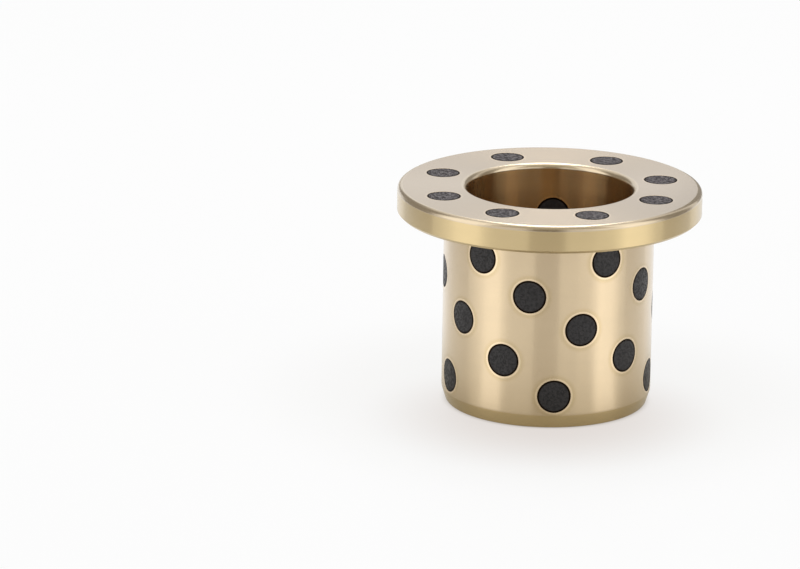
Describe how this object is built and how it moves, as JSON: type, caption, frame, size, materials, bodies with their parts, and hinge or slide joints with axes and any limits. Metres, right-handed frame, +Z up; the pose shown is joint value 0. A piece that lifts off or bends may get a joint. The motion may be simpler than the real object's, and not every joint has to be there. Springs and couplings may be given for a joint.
{
  "type": "graphite plugged bushing",
  "caption": "Flanged bronze bushing for a shaft, with solid graphite plugs set flush in a spiral pattern through its wall and in a ring in its thrust face.",
  "frame": {"origin": "centre of the plain end face, on the axis of the bore, where the bushing stands", "axes": "+Z up along the bore from the plain end to the thrust face of the flange; +X and +Y square to the bore"},
  "size_m": [0.055, 0.055, 0.04],
  "materials": {
    "bronze": "satin",
    "graphite": "matte"
  },
  "bodies": {
    "root": {"sleeve": "bronze", "wall_plug_1_1": "graphite", "wall_plug_1_2": "graphite", "wall_plug_1_3": "graphite", "wall_plug_1_4": "graphite", "wall_plug_1_5": "graphite", "wall_plug_2_1": "graphite", "wall_plug_2_2": "graphite", "wall_plug_2_3": "graphite", "wall_plug_2_4": "graphite", "wall_plug_2_5": "graphite", "wall_plug_3_1": "graphite", "wall_plug_3_2": "graphite", "wall_plug_3_3": "graphite", "wall_plug_3_4": "graphite", "wall_plug_3_5": "graphite", "wall_plug_4_1": "graphite", "wall_plug_4_2": "graphite", "wall_plug_4_3": "graphite", "wall_plug_4_4": "graphite", "wall_plug_4_5": "graphite", "wall_plug_5_1": "graphite", "wall_plug_5_2": "graphite", "wall_plug_5_3": "graphite", "wall_plug_5_4": "graphite", "wall_plug_5_5": "graphite", "flange_plug_1": "graphite", "flange_plug_2": "graphite", "flange_plug_3": "graphite", "flange_plug_4": "graphite", "flange_plug_5": "graphite", "flange_plug_6": "graphite", "flange_plug_7": "graphite", "flange_plug_8": "graphite"}
  },
  "joints": []
}
